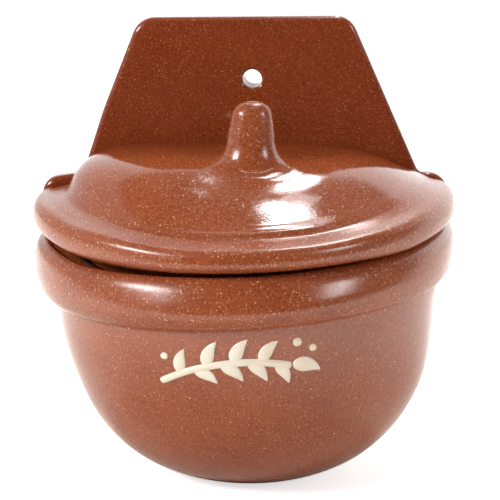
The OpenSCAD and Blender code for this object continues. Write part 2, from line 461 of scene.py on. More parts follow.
def coat(tree, shader, colour, roughness, height):
    """Links a colour, a roughness and a height of fine relief to a shader."""
    relief = {"Height": height, "Strength": BUMP_STRENGTH, "Distance": BUMP_DEPTH}
    bump = put(tree, "ShaderNodeBump", relief)
    tree.links.new(colour, shader["Base Color"])
    tree.links.new(roughness, shader["Roughness"])
    tree.links.new(bump.outputs["Normal"], shader["Normal"])


CLAY_DEEP = tone(126, 53, 25)
CLAY_LIGHT = tone(174, 95, 57)
# Painted shade: a darker, deeper tint multiplied in over the plate and the back of the lid and bowl
BACK_SHADE_TINT = (0.76, 0.60, 0.46, 1.0)
GRAIN_PALE = tone(224, 166, 124)
FLECK_PALE = tone(240, 208, 176)
FLECK_DARK = tone(74, 30, 15)
CLAY_WAVES = 0.6
CLAY_GLOSS = (0.3, 0.7, 0.05, 0.11)
CLAY_GRAIN = (1350.0, 2.0, 0.6)
GRAIN_CLOUD = 0.3
GRAIN_LIGHT = (0.38, 0.96)
SMALL_FLECKS = (1250.0, 0.35, 0.7)
LARGE_FLECKS = (440.0, 0.16, 0.26)
DARK_PITS = (420.0, 0.15, 0.2)
SAND_FLECKS = (820.0, 0.34, 0.75)
FLECK_RISE = 0.5
SAND_RISE = 0.8
SAND_DULL = 0.15
BACK_SHADE_RAMP = (-0.030, 0.013)
SANDY_RADIUS = (0.0525, 0.0548)
SANDY_LUG = (0.1020, 0.1065)
SANDY_ABOVE = (0.0570, 0.0610)
SANDY_BEFORE = (0.0130, 0.0090)


def sandy_rim(tree, place, axes):
    """Share of sand in the glaze: full on the lug, the flange and the collar.

    It is the larger of a ramp over the radius and one over the lug's height, times ramps that end it on the
    bowl and on the plate.
    """
    flat = vector_maths(tree, "MULTIPLY", place, (1.0, 1.0, 0.0))["Vector"]
    out = ramp(tree, vector_maths(tree, "LENGTH", flat)["Value"], *SANDY_RADIUS)
    share = maths(tree, "MAXIMUM", out, ramp(tree, axes["Z"], *SANDY_LUG))
    share = maths(tree, "MULTIPLY", share, ramp(tree, axes["Z"], *SANDY_ABOVE))
    return maths(tree, "MULTIPLY", share, ramp(tree, axes["Y"], *SANDY_BEFORE))


def terracotta():
    """Red-brown clay under clear glaze: cloudy-coloured grain, flecks, pits, and painted shade deepening to
    the back.

    On the lug, the flange and the collar the glaze is thin and sandy: more grains, raised, and less gloss.
    """
    material, tree, shader, place, skin = glazed("glazed_terracotta", CLAY_WAVES)
    axes = split(tree, place)
    rim = sandy_rim(tree, place, axes)
    cloudy = maths(tree, "MULTIPLY_ADD", skin["Cloud"], GRAIN_CLOUD, noise(tree, place, *CLAY_GRAIN))
    colour = mixed(tree, ramp(tree, cloudy, *GRAIN_LIGHT, kind="LINEAR"), CLAY_DEEP, CLAY_LIGHT)
    small = flecks(tree, place, *SMALL_FLECKS)
    large = flecks(tree, place, *LARGE_FLECKS)
    pits = flecks(tree, place, *DARK_PITS)
    sand = maths(tree, "MULTIPLY", flecks(tree, place, *SAND_FLECKS), rim)
    spots = ((small, GRAIN_PALE), (large, FLECK_PALE), (pits, FLECK_DARK), (sand, GRAIN_PALE))
    for share, shade in spots:
        colour = mixed(tree, share, colour, shade)
    # Painted shade: the colour darkens and deepens from the bowl's front to the plate
    colour = mixed(tree, ramp(tree, axes["Y"], *BACK_SHADE_RAMP), colour, BACK_SHADE_TINT, kind="MULTIPLY")
    gloss = ramp(tree, skin["Cloud"], *CLAY_GLOSS, kind="LINEAR")
    dulled = maths(tree, "MULTIPLY_ADD", rim, SAND_DULL, gloss)
    raised = maths(tree, "MULTIPLY_ADD", maths(tree, "ADD", large, small), FLECK_RISE, skin["Height"])
    coat(tree, shader, colour, dulled, maths(tree, "MULTIPLY_ADD", sand, SAND_RISE, raised))
    return material


SLIP_MAIN = tone(244, 239, 226)
SLIP_WARM = tone(232, 214, 186)
SLIP_WAVES = 0.8
SLIP_GLOSS = (0.3, 0.7, 0.12, 0.22)
SLIP_CLOUD = (0.42, 0.68, 0.0, 0.6)
SLIP_GRAINS = (700.0, 0.2, 0.1)


def slip():
    """Cream slip under the same glaze: a warm cloud in the cream and a few grains showing through."""
    material, tree, shader, place, skin = glazed("cream_slip", SLIP_WAVES)
    warm = ramp(tree, skin["Cloud"], *SLIP_CLOUD, kind="LINEAR")
    colour = mixed(tree, warm, SLIP_MAIN, SLIP_WARM)
    colour = mixed(tree, flecks(tree, place, *SLIP_GRAINS), colour, CLAY_LIGHT)
    gloss = ramp(tree, skin["Cloud"], *SLIP_GLOSS, kind="LINEAR")
    coat(tree, shader, colour, gloss, skin["Height"])
    return material


TERRACOTTA = terracotta()
SLIP = slip()


# Pot: bowl and collar turned as one
FOOT_R = 21.0
CREASE_Z = 58.7
BAND_Z = 67.5
RIM_Z = 74.7
FLOOR_Z = 7.0
RECESS_Z = 0.7
RECESS_STEP = 0.9
POT_COLUMNS = 241
POT_CAP_STEP = 3.0
POT_RECESS = [(0.0, RECESS_Z), (8.0, RECESS_Z), (14.5, RECESS_Z), (16.6, 0.35), (18.0, 0.03), (19.6, 0.0)]

# Curves of the pot's section, each from the last one's end: two pulls, an end and a number of points
POT_CURVES = {
    "foot": ((20.6, 0.0), (21.2, 0.12), (22.2, 0.42), 6),
    "wall": ((45.9, 7.6), (57.1, 25.8), (59.5, CREASE_Z - 1.0), 74),
    "crease": ((59.55, CREASE_Z - 0.35), (59.65, CREASE_Z), (60.2, CREASE_Z + 0.1), 7),
    "belly": ((62.7, CREASE_Z + 0.5), (64.9, CREASE_Z + 3.4), (65.2, BAND_Z), 24),
    "band": ((65.35, BAND_Z + 2.0), (65.3, BAND_Z + 3.4), (64.9, BAND_Z + 4.6), 10),
    "brow": ((64.3, BAND_Z + 6.6), (62.6, RIM_Z), (60.2, RIM_Z), 14),
    "lip": ((57.5, RIM_Z + 0.1), (53.3, RIM_Z + 0.2), (53.25, RIM_Z - 3.2), 16),
    "throat": ((53.2, 66.0), (53.1, 58.0), (52.6, 50.0), 18),
    "inner": ((50.6, 28.0), (43.0, 12.0), (20.0, FLOOR_Z + 0.5), 50),
    "floor": ((15.0, FLOOR_Z), (8.0, FLOOR_Z), (0.0, FLOOR_Z), 16),
}

# What the hand left uneven; UP names heights, and OUT and IN radii, between which something sets in
RIM_TILT = 2.0
RIM_BOW = 1.4
RIM_LIFTS = [(1.9, 0.72, 1.0), (1.5, 0.8, -1.0)]
CREASE_TILT = 3.5
CREASE_BOW = 0.7
TILT_FROM_Z = 30.0
LINE_DEPTH = 0.015
LINE_TURN = 1.35
LINE_SWAY = 0.8
LINE_START = 0.6
LINES_UP = (6.0, 14.0)
POT_WAVES = [(0.16, 2.0, 0.9), (0.10, 3.0, -0.4)]
POT_WAVES_UP = (10.0, 30.0)
POT_WAVES_OUT = (8.0, 24.0)
BROW_EASE = 3.2
BROW_OUT = (54.5, 60.0)
BROW_UP = (62.5, 74.0)
POT_SHIFTS = [(-1.0, 28.0, 57.0), (-0.9, 55.0, 66.0)]
DIP = 0.5
DIP_PLACE = (math.radians(-138.0), math.radians(24.0))
DIP_UP = (BAND_Z + 2.5, RIM_Z)
SINK = 2.2
SINK_PLACE = (math.radians(-130.0), math.radians(42.0))
SINK_UP = (RIM_Z - 3.5, RIM_Z - 1.0)
SINK_IN = (62.6, 60.0)


def rim_rise(angle):
    """How far the mouth's rim, and the lid on it, rise with the direction.

    It is a cosine and its square, and a lift of both ends where they meet the plate.
    """
    across = np.cos(angle)
    ends = sum(lift * smoothstep(start, 1.0, side * across) for lift, start, side in RIM_LIFTS)
    return RIM_TILT * across + RIM_BOW * across * across + ends


def pot_profile():
    """Radius and height from under the foot, up the wall, over the collar and down inside to the floor."""
    runs = [spline(POT_RECESS, RECESS_STEP)]
    start = POT_RECESS[-1]
    for first_pull, second_pull, end, count in POT_CURVES.values():
        runs.append(bezier(start, first_pull, second_pull, end, count))
        start = end
    return chain(*runs)


def pot_place(radius, height, angle):
    """A point of the pot from radius, height and angle, with what the hand left uneven.

    The section's middle moves left with height. The collar leans up to the right, is rounder above in front
    and has a lower top to the left that falls inwards. The turned surface carries faint throwing lines, a
    sine of the height, and a slow out-of-round wave.
    """
    across = np.cos(angle)
    lines = LINE_DEPTH * np.sin(height * LINE_TURN + LINE_SWAY * np.sin(angle + LINE_START))
    lines = lines * smoothstep(*LINES_UP, height)
    slow = wobble(POT_WAVES, angle) * smoothstep(*POT_WAVES_UP, height)
    bulge = (lines + slow) * smoothstep(*POT_WAVES_OUT, radius)
    soft = toward(-np.sin(angle)) * smoothstep(*BROW_OUT, radius)
    bulge = bulge - BROW_EASE * soft * smoothstep(*BROW_UP, height)
    shift = sum(far * smoothstep(low, high, height) for far, low, high in POT_SHIFTS)
    crease_rise = CREASE_TILT * across + CREASE_BOW * across * across
    near_rim = smoothstep(CREASE_Z, RIM_Z, height)
    dip = DIP * bell(*DIP_PLACE, angle) * smoothstep(*DIP_UP, height)
    sink = SINK * bell(*SINK_PLACE, angle) * smoothstep(*SINK_UP, height)
    dip = dip + sink * smoothstep(*SINK_IN, radius)
    tilt = crease_rise * smoothstep(TILT_FROM_Z, CREASE_Z, height)
    x = shift + (radius + bulge) * across
    y = radius * np.sin(angle) + bulge * np.minimum(np.sin(angle), 0.0)
    z = height + (tilt + (rim_rise(angle) - crease_rise) * near_rim - dip)
    return np.stack(np.broadcast_arrays(x, y, z), axis=-1)


def half_sweep(cut, radius):
    """How far a ring goes to each side: 90 degrees plus the arcsine of cut over radius.

    Both its ends lie on the plane y = cut; a ring nearer the axis than the plane is a whole circle.
    """
    return QUARTER + np.arcsin(np.clip(cut / np.maximum(radius, TINY), -1.0, 1.0))


def section(grid, met):
    """The outline of a shell's rows that meet the cut: out along the right ends and back along the left."""
    right = grid[met, -1]
    left = grid[met, 0][::-1]
    return np.concatenate([right, left[1:-1]])[:, [0, 2]]


POT_PROFILE = insert_radii(pot_profile(), PLATE_FRONT + NEAR_CUT)


def pot_piece():
    """Rings of the pot's profile, from the front to both sides, with the face of the cut filled."""
    radius = POT_PROFILE[:, :1]
    share = np.linspace(-1.0, 1.0, POT_COLUMNS)
    grid = pot_place(radius, POT_PROFILE[:, 1:], -QUARTER + share * half_sweep(PLATE_FRONT, radius))
    met = POT_PROFILE[:, 0] >= PLATE_FRONT - SAME
    grid[met, 0, 1] = PLATE_FRONT
    grid[met, -1, 1] = PLATE_FRONT
    face = cap([section(grid, met)], PLATE_FRONT, POT_CAP_STEP)
    return make_piece("pot_shell", [patch(grid), face], TERRACOTTA)


pot_shell = pot_piece()
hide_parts("bowl", "rim_collar")
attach(pot_shell, "pot")


def outer_wall(top):
    """Radius and height of the pot's outer wall from the foot to a given height."""
    wall = POT_PROFILE[:int(np.argmax(POT_PROFILE[:, 1]))]
    return wall[(wall[:, 0] >= FOOT_R) & (wall[:, 1] <= top)]


# Back plate
HOLE_X = 0.6
HOLE_Z = 122.0
HOLE_SKEW_X = 1.1
HOLE_SKEW_Z = 0.9
HOLE_R = 2.95
HOLE_ROUND = 0.9
HOLE_WAVES = [(0.02, 2.0, 0.5), (0.015, 3.0, 2.0)]
HOLE_SIDES = 64
BORE_INSET = 1.6
BORE_ROWS = 3
PLATE_FRONT_ROUND = 1.7
PLATE_BACK_ROUND = 2.4
PLATE_MARGIN = 0.8
PLATE_SOFT_UP = (77.0, 82.0)
PLATE_EDGE_ROWS = 7
PLATE_SIDE_ROWS = 4
PLATE_SIDE_INSET = 0.3
PLATE_OUTLINE_STEP = 1.3
PLATE_BASE_POINTS = 24
PLATE_CAP_STEP = 2.6
PLATE_FADE = 16.0
PLATE_CORNERS_RIGHT = [(63.2, 91.8), (53.6, 92.0), (31.6, 141.9)]
PLATE_CORNERS_LEFT = [(-34.9, 141.4), (-46.4, 112.2), (-53.0, 92.0), (-66.0, 90.2)]
PLATE_ROUNDS = [6.0, 2.4, 7.0, 7.5, 60.0, 2.4, 5.5]
SWELL = 0.09
SWELL_UP = (84.0, 100.0)
SWELL_WAVES = [(1.0, 0.11, 0.07, 1.0), (1.0, -0.065, 0.13, 2.2), (0.6, 0.21, -0.09, 0.0)]


def plate_outline(y):
    """The plate's edge at depth y: the turned wall's ends up to the collar, then shoulders, sides and top.

    Below the collar each side is the turned surface at the angle whose sine is y over radius; above it the
    outline is the same at every depth, apart from a fade of the collar's narrowing.
    """
    radius, height = outer_wall(BAND_Z).T
    ends = []
    for depth in (y, PLATE_FRONT):
        angle = np.arcsin(depth / radius)
        ends.append(pot_place(radius, height, angle)[:, [0, 2]])
        ends.append(pot_place(radius, height, 2 * QUARTER - angle)[:, [0, 2]])
    right, left = ends[:2]
    right_front, left_front = ends[2][-1], ends[3][-1]
    path = [tuple(right_front)] + PLATE_CORNERS_RIGHT + PLATE_CORNERS_LEFT + [tuple(left_front)]
    upper = rounded(path, PLATE_ROUNDS, PLATE_OUTLINE_STEP)
    on_right = upper[:, 0] > 0
    above = upper[:, 1] - np.where(on_right, right_front[1], left_front[1])
    drawn_in = np.where(on_right, right[-1, 0] - right_front[0], left[-1, 0] - left_front[0])
    upper[:, 0] += drawn_in * (1.0 - smoothstep(0.0, PLATE_FADE, above))
    base = left[0] + np.linspace(0.0, 1.0, PLATE_BASE_POINTS)[1:-1, None] * (right[0] - left[0])
    return np.concatenate([right[:-1], upper, left[:-1][::-1], base])


def plate_waves(points):
    """Moves the plate's front in and out by a tenth of a millimetre, in slow crossing sines above the lid."""
    x, y, z = points[..., 0], points[..., 1], points[..., 2]
    swell = sum(share * np.sin(across * x + up * z + start) for share, across, up, start in SWELL_WAVES)
    front = np.clip((PLATE_BACK - y) / (PLATE_BACK - PLATE_FRONT), 0.0, 1.0)
    moved = points.copy()
    moved[..., 1] += SWELL * swell * front * smoothstep(*SWELL_UP, z)
    return moved


def plate_rim(turn):
    """Rows round the plate's edge: a quarter round in front, the straight side and a quarter round behind."""
    outline = plate_outline(PLATE_FRONT)
    inward = inward_normals(outline)
    soft = PLATE_FRONT_ROUND * smoothstep(*PLATE_SOFT_UP, outline[:, 1])
    rows = [at_depth(outline + inward * (soft + PLATE_MARGIN)[:, None], PLATE_FRONT)]
    for step in turn:
        edge = outline + inward * (soft * (1 - math.sin(step)))[:, None]
        rows.append(at_depth(edge, PLATE_FRONT + soft * (1 - math.cos(step))))
    side_start = PLATE_FRONT + PLATE_FRONT_ROUND + PLATE_SIDE_INSET
    for depth in np.linspace(side_start, PLATE_BACK - PLATE_BACK_ROUND, PLATE_SIDE_ROWS):
        rows.append(at_depth(plate_outline(depth), depth))
    for step in turn[1:]:
        depth = PLATE_BACK - PLATE_BACK_ROUND * (1 - math.sin(step))
        outline = plate_outline(depth)
        inward = inward_normals(outline)
        rows.append(at_depth(outline + inward * PLATE_BACK_ROUND * (1 - math.cos(step)), depth))
    rows.append(at_depth(outline + inward * (PLATE_BACK_ROUND + PLATE_MARGIN), PLATE_BACK))
    return np.stack(rows)


def plate_hole(turn):
    """Rings through the hanging hole: rounded at both ends, a little out of round and skewed to the back."""
    around = full_turn(HOLE_SIDES)
    uneven = 1.0 + wobble(HOLE_WAVES, around)
    bore_turn = np.concatenate([turn, np.full(BORE_ROWS, QUARTER), turn[::-1]])
    radius = HOLE_R + HOLE_ROUND * (1 - np.sin(bore_turn))
    radius = np.concatenate([radius[:1] + PLATE_MARGIN, radius, radius[-1:] + PLATE_MARGIN])[:, None]
    depth = np.concatenate([[PLATE_FRONT], PLATE_FRONT + HOLE_ROUND * (1 - np.cos(turn)),
                            np.linspace(PLATE_FRONT + BORE_INSET, PLATE_BACK - BORE_INSET, BORE_ROWS),
                            PLATE_BACK - HOLE_ROUND * (1 - np.cos(turn[::-1])), [PLATE_BACK]])[:, None]
    skew = (depth - PLATE_FRONT) / (PLATE_BACK - PLATE_FRONT)
    x = HOLE_X + HOLE_SKEW_X * skew + radius * (uneven * np.cos(around))
    z = HOLE_Z + HOLE_SKEW_Z * skew + radius * (uneven * np.sin(around))
    return np.stack([x, np.broadcast_to(depth, x.shape), z], axis=-1)


def plate_piece():
    """The plate's edge and its hole, with flat faces filled between them in front and behind."""
    turn = np.linspace(0.0, QUARTER, PLATE_EDGE_ROWS)
    rim = plate_rim(turn)
    hole = plate_hole(turn)
    patches = [patch(rim, closed=True), patch(hole, closed=True)]
    for row, depth in ((0, PLATE_FRONT), (-1, PLATE_BACK)):
        patches.append(cap([rim[row][:, [0, 2]], hole[row][:, [0, 2]]], depth, PLATE_CAP_STEP))
    waved = [(plate_waves(points), faces) for points, faces in patches]
    return make_piece("plate_slab", waved, TERRACOTTA)


plate_slab = plate_piece()
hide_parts("back_plate")
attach(plate_slab, "pot")


# Lid: its flange is given as radius and height for the front, softened to the right, and for both ends
LID_SHIFT = -1.9
LID_BEVEL = 1.1
LID_BEVEL_ROWS = 5
LID_COLUMNS = 241
LID_CAP_STEP = 2.5
LID_WAVES = [(0.14, 2.0, -0.5), (0.12, 3.0, 1.1)]
LID_WAVES_OUT = (56.0, 62.0)
LID_RIDES_OUT = (49.0, 51.6)
LID_RIDES_UP = (72.5, 75.0)
LEFT_END = (0.2, 0.95)
RIGHT_END = (0.3, 0.985)
DOME_TOP = 102.6
DOME_ROWS = 100
DOME_POWERS = (7.5, 4.3, 2.7)
DOME_EASES = (0.75, 1.3, 1.15)
BEAD = 0.1
BEAD_PLACE = (52.3, 0.6)
RIDGE_R = 53.4
SEAT = (57.6, 75.2)
FLANGE_SAMPLES = 4
FLANGE_SOFTENS = (0.2, 0.6)
FLANGE_FRONT = [
    (RIDGE_R, 86.9), (54.3, 86.6), (55.2, 85.5), (55.95, 84.72), (56.35, 84.58), (57.4, 84.35), (59.3, 83.95),
    (60.8, 83.62), (62.3, 83.25), (63.3, 82.9), (64.15, 81.9), (64.6, 80.3), (64.65, 79.0), (64.35, 78.0),
    (63.6, 77.2), (62.2, 76.4), (59.8, 75.6), SEAT]
FLANGE_SOFT = [(RIDGE_R, 86.9), (54.3, 86.25), (55.2, 85.4)] + FLANGE_FRONT[3:]
FLANGE_LEFT = [
    (RIDGE_R, 92.1), (54.3, 90.4), (55.2, 89.0), (56.1, 88.2), (57.0, 87.9), (57.9, 87.7), (59.3, 87.4),
    (60.8, 87.1), (62.3, 86.9), (63.8, 86.5), (65.2, 84.9), (65.7, 82.7), (65.6, 80.9), (65.0, 79.2),
    (63.8, 78.0), (62.0, 77.0), (59.6, 75.8), SEAT]
FLANGE_RIGHT = [
    (RIDGE_R, 88.9), (54.3, 88.45), (55.2, 88.05), (56.1, 87.6), (57.0, 87.2), (57.9, 86.75), (59.3, 86.1),
    (60.8, 85.6), (62.3, 85.2), (63.6, 84.7), (64.8, 83.7), (65.3, 81.8), (65.4, 79.6), (65.0, 77.4),
    (63.9, 76.1), (62.0, 75.5), (59.6, 75.25), SEAT]
RING_STEP = 0.7
RING_INNER = (46.2, 77.0)
RING = [
    SEAT, (54.0, 75.2), (51.7, 75.15), (50.75, 74.3), (50.6, 72.5), (50.3, 70.2), (49.6, 69.1), (48.4, 68.75),
    (47.2, 69.1), (46.6, 70.2), (46.3, 73.0), RING_INNER]
HOLLOW = [RING_INNER, (46.0, 89.0), (33.0, 95.7), (0.0, 95.8)]
HOLLOW_ROWS = 46


def blend(front, left, right, angle):
    """One value for the front and one for each end of the lid, mixed by the direction."""
    across = np.cos(angle)
    to_left = smoothstep(*LEFT_END, -across)
    to_right = smoothstep(*RIGHT_END, across)
    return front + to_left * (left - front) + to_right * (right - front)


def dome_height(radius, angle):
    """Height of the dome: foot plus rise times (1 - (r/R)^p)^q, with p and q set by the direction.

    To the left the dome is flat and ends steeply, to the right it slopes gently and to the front it falls
    early. A fine bead runs along its foot in front.
    """
    left = toward(-np.cos(angle))
    right = toward(np.cos(angle))
    front = 1.0 - left - right
    power = DOME_POWERS[0] * left + DOME_POWERS[1] * right + DOME_POWERS[2] * front
    ease = DOME_EASES[0] * left + DOME_EASES[1] * right + DOME_EASES[2] * front
    foot = rim_rise(angle) + blend(FLANGE_FRONT[0][1], FLANGE_LEFT[0][1], FLANGE_RIGHT[0][1], angle)
    share = np.clip(radius / RIDGE_R, 0.0, 1.0)
    bead = BEAD * bell(*BEAD_PLACE, radius) * front
    return foot + (DOME_TOP - foot) * (1.0 - share ** power) ** ease + bead


def lid_piece():
    """The lid's turned shell, cut straight along the plate, with the cut's edge rounded and its face filled.

    Each row has a radius and a height for the front and for both ends, mixed by the angle; the groove softens
    from the front to the right. The dome's rows take their height from the dome's formula; the flange's and
    the underside's, round the ring and over the hollow, rise with the rim that they lie on.
    """
    end = LID_CUT - LID_BEVEL
    dome_r = np.sort(np.append(np.linspace(0.0, RIDGE_R, DOME_ROWS), end + NEAR_CUT))
    dome = np.stack([dome_r, np.zeros(len(dome_r))], axis=1)
    under = chain(spline(RING, RING_STEP), bezier(*HOLLOW, HOLLOW_ROWS))
    under = insert_radii(under, end + NEAR_CUT)
    flanges = (FLANGE_FRONT, FLANGE_SOFT, FLANGE_LEFT, FLANGE_RIGHT)
    fronts, softs, lefts, rights = [
        np.concatenate([dome, through(flange, FLANGE_SAMPLES)[1:], under[1:]]) for flange in flanges]
    share = np.linspace(-1.0, 1.0, LID_COLUMNS)
    angle = -QUARTER + share * half_sweep(end, np.where(share > 0, rights[:, :1], lefts[:, :1]))
    radius = blend(fronts[:, :1], lefts[:, :1], rights[:, :1], angle)
    ahead = fronts[:, 1:] + smoothstep(*FLANGE_SOFTENS, np.cos(angle)) * (softs[:, 1:] - fronts[:, 1:])
    height = blend(ahead, lefts[:, 1:], rights[:, 1:], angle)
    rides = smoothstep(*LID_RIDES_OUT, radius) * smoothstep(*LID_RIDES_UP, height)
    height = height + rides * rim_rise(angle)
    height[:len(dome)] = dome_height(radius[:len(dome)], angle[:len(dome)])
    slow = wobble(LID_WAVES, angle) * smoothstep(*LID_WAVES_OUT, radius)
    x = LID_SHIFT + (radius + slow) * np.cos(angle)
    y = radius * np.sin(angle) + slow * np.minimum(np.sin(angle), 0.0)
    met = fronts[:, 0] >= end - SAME
    y[met, 0] = end
    y[met, -1] = end
    grid = np.stack([x, y, height], axis=-1)
    loop = section(grid, met)
    normal = inward_normals(loop)
    turn = np.linspace(0.0, QUARTER, LID_BEVEL_ROWS)
    inset = LID_BEVEL * (1.0 - np.cos(turn))
    depth = end + LID_BEVEL * np.sin(turn)
    bevel = np.stack([at_depth(loop + inset[row] * normal, depth[row]) for row in range(LID_BEVEL_ROWS)])
    face = cap([bevel[-1][:, [0, 2]]], LID_CUT, LID_CAP_STEP)
    return make_piece("lid_shell", [patch(grid), patch(bevel, closed=True), face], TERRACOTTA)


lid_shell = lid_piece()
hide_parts("lid", "lid_locating_ring")
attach(lid_shell, "lid")


# Lug
LUG_X = 0.1
LUG_Y = -20.2
LUG_LEAN = 0.7
LUG_TOP = 18.9
LUG_WAIST = 8.0
LUG_WAIST_FRONT = -1.0
LUG_CORE = [
    (0.0, LUG_TOP), (2.0, 18.82), (3.7, 18.35), (5.0, 17.4), (5.8, 16.1), (6.25, 14.3), (6.6, 12.3),
    (6.95, 10.2), (7.25, LUG_WAIST)]
LUG_STEP = 0.4
LUG_COLUMNS = 120
LUG_SQUARE = 0.9
LUG_DEPTH = 0.82
LUG_DEEPENS = (0.0, 8.0)
FLARE_ROWS = 40
FLARE_RUN = 11.0
FLARE_RUN_FRONT = -4.0
FLARE_RUN_RIGHT = 3.0
FLARE_OUT = (0.02, 0.16, 0.5)
FLARE_UP = 0.40
LUG_LEAVES_DOME = (0.0, 9.0)
LUG_SINK = 0.03
LUG_SINKS = (0.0, 0.4)
LUG_UNDER = (0.0, 0.0, 0.5)
LUG_HALFWAY = (0.0, 0.0, 0.8)
LUG_CORE_DEPTH = 2.0


def dome_at(x, y):
    """Height of the dome above a point of the lid's plan."""
    radius = np.hypot(x - LID_SHIFT, y)
    return dome_height(radius, np.arctan2(y, x - LID_SHIFT))


def squared(wave):
    """A sine or cosine made squarer: its sign times a power of its size."""
    return np.sign(wave) * np.abs(wave) ** LUG_SQUARE


def lug_piece():
    """Rings round the lug from its tip to its foot.

    The upper rings have the core's half widths. The lower ones go out along a curve of fourth power that
    leaves the core upright and runs out flat on the dome, longest to the right and shortest in front. Low
    on the lug a ring's height follows the dome, so the foot lies on it all round.
    """
    around = full_turn(LUG_COLUMNS)
    in_front = toward(-np.sin(around))
    run_out = FLARE_RUN + FLARE_RUN_FRONT * in_front + FLARE_RUN_RIGHT * toward(np.cos(around))
    waist = LUG_WAIST + LUG_WAIST_FRONT * in_front
    core = spline(LUG_CORE, LUG_STEP)
    t = np.linspace(0.0, 1.0, FLARE_ROWS)[1:, None]
    flare_out = (4 * FLARE_OUT[0] * t * (1 - t) ** 3 + 6 * FLARE_OUT[1] * t ** 2 * (1 - t) ** 2
                 + 4 * FLARE_OUT[2] * t ** 3 * (1 - t) + t ** 4)
    flare_up = (1 - t) ** 4 + 4 * FLARE_UP * t * (1 - t) ** 3
    stretch = (LUG_TOP - waist) / (LUG_TOP - LUG_WAIST)
    upper_height = waist + (core[:, 1:] - LUG_WAIST) * stretch
    upper_reach = np.repeat(core[:, :1], LUG_COLUMNS, axis=1)
    reach = np.concatenate([upper_reach, core[-1, 0] + flare_out * run_out])
    height = np.concatenate([upper_height, flare_up * waist])
    deep = LUG_DEPTH + (1.0 - LUG_DEPTH) * (1.0 - smoothstep(*LUG_DEEPENS, height))
    x = LUG_X + LUG_LEAN * height / LUG_TOP + reach * squared(np.cos(around))
    y = LUG_Y + reach * squared(np.sin(around)) * deep
    seat = float(dome_at(np.array(LUG_X), np.array(LUG_Y)))
    follow = 1.0 - smoothstep(*LUG_LEAVES_DOME, height)
    sunk = LUG_SINK * (1.0 - smoothstep(*LUG_SINKS, height))
    z = dome_at(x, y) * follow + seat * (1.0 - follow) + height - sunk
    body = np.stack([x, y, z], axis=-1)
    middle = np.broadcast_to(np.array([LUG_X, LUG_Y, seat - LUG_CORE_DEPTH]), (1, LUG_COLUMNS, 3))
    under = body[-1:] - LUG_UNDER
    halfway = 0.5 * (under + middle) - LUG_HALFWAY
    rows = np.concatenate([body, under, halfway, middle])
    return make_piece("lid_lug_body", [patch(rows, closed=True)], TERRACOTTA)


lug_body = lug_piece()
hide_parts("lid_lug")
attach(lug_body, "lid")


# Slip sprig on the bowl's front
SPRIG_HEIGHT = 0.75
SPRIG_SINK = 0.5
SPRIG_R = 57.0
SPRIG_CLEAR = 1.2
SPRIG_WALL_R, SPRIG_WALL_Z = outer_wall(CREASE_Z - SPRIG_CLEAR).T
TRAIL_SIDES = 24
STEM_STEP = 0.5
LEAF_ROWS = 30
LEAF_BEND = 0.10
LEAF_FULL = 0.7
LEAF_BLUNT = 0.85
DOT_ROWS = 17


def bowl_normal(height):
    """Radius of the bowl's wall at a height, and its outward direction in the plane of radius and height."""
    radius = np.interp(height, SPRIG_WALL_Z, SPRIG_WALL_R)
    lean = np.interp(height, SPRIG_WALL_Z, np.gradient(SPRIG_WALL_R, SPRIG_WALL_Z))
    length = np.sqrt(1.0 + lean ** 2)
    return radius, 1.0 / length, -lean / length


def trail(path, widths):
    """A raised trail of slip: half-round sections across a path laid on the bowl, sunk into its wall."""
    across = square_to(np.gradient(path, axis=0))
    around = full_turn(TRAIL_SIDES)
    lift = np.where(np.sin(around) > 0, np.sin(around), np.sin(around) * SPRIG_SINK / SPRIG_HEIGHT)
    flat = path[:, None] + widths[:, None, None] * np.cos(around)[:, None] * across[:, None]
    share = np.sqrt(np.clip(widths / max(widths.max(), TINY), 0.0, 1.0))
    raised = SPRIG_HEIGHT * share[:, None] * lift
    radius, out, up = bowl_normal(flat[..., 1])
    angle = -QUARTER + flat[..., 0] / SPRIG_R
    return patch(pot_place(radius + raised * out, flat[..., 1] + raised * up, angle), closed=True)


def stem(points, width):
    """A trail of even width with round ends along a smooth line through points."""
    path = spline(points, STEM_STEP)
    run = np.linspace(0.0, 1.0, len(path)) * (len(path) - 1) * STEM_STEP
    ends = np.clip(np.minimum(run, run[-1] - run) / width, 0.0, 1.0)
    return trail(path, width * np.sqrt(1.0 - (1.0 - ends) ** 2))


def leaf(x, z, heading, length, width):
    """A teardrop of slip from its stalk, a little bent.

    Its half width is the sine of pi times the share along to the power 0.7, to the power 0.85.
    """
    t = np.linspace(0.0, 1.0, LEAF_ROWS)
    turn = math.radians(heading)
    bend = LEAF_BEND * length * np.sin(math.pi * t)
    side_x = x + length * t * math.cos(turn) - bend * math.sin(turn)
    side_z = z + length * t * math.sin(turn) + bend * math.cos(turn)
    widths = width * np.clip(np.sin(math.pi * t ** LEAF_FULL), 0.0, 1.0) ** LEAF_BLUNT
    return trail(np.stack([side_x, side_z], axis=1), widths)


def dot(x, z, size):
    """A round drop of slip."""
    t = np.linspace(-1.0, 1.0, DOT_ROWS)
    path = np.stack([x + size * t, np.full(len(t), z)], axis=1)
    return trail(path, size * np.sqrt(1.0 - t ** 2))


STEM = [(-27.0, 41.5), (-18.0, 45.6), (-8.0, 48.0), (3.0, 48.4), (13.0, 46.8)]
STEM_WIDTH = 1.15
LEAVES = [
    (13.0, 46.8, -14.0, 9.0, 2.2),
    (-20.0, 44.8, 78.0, 8.4, 1.9), (-12.0, 47.2, 68.0, 8.8, 2.0),
    (-4.0, 48.3, 60.0, 8.6, 2.0), (4.0, 48.3, 52.0, 8.0, 1.9),
    (-16.0, 46.1, -32.0, 8.2, 1.9), (-8.0, 48.0, -40.0, 8.6, 2.0),
    (0.0, 48.5, -48.0, 8.4, 1.9), (8.0, 47.8, -58.0, 7.6, 1.8)]
DOTS = [(14.5, 53.6, 1.3), (19.2, 51.4, 1.1), (-24.5, 50.4, 1.2)]
trails = [stem(STEM, STEM_WIDTH)] + [leaf(*place) for place in LEAVES] + [dot(*place) for place in DOTS]
sprig = make_piece("slip_sprig", trails, SLIP)
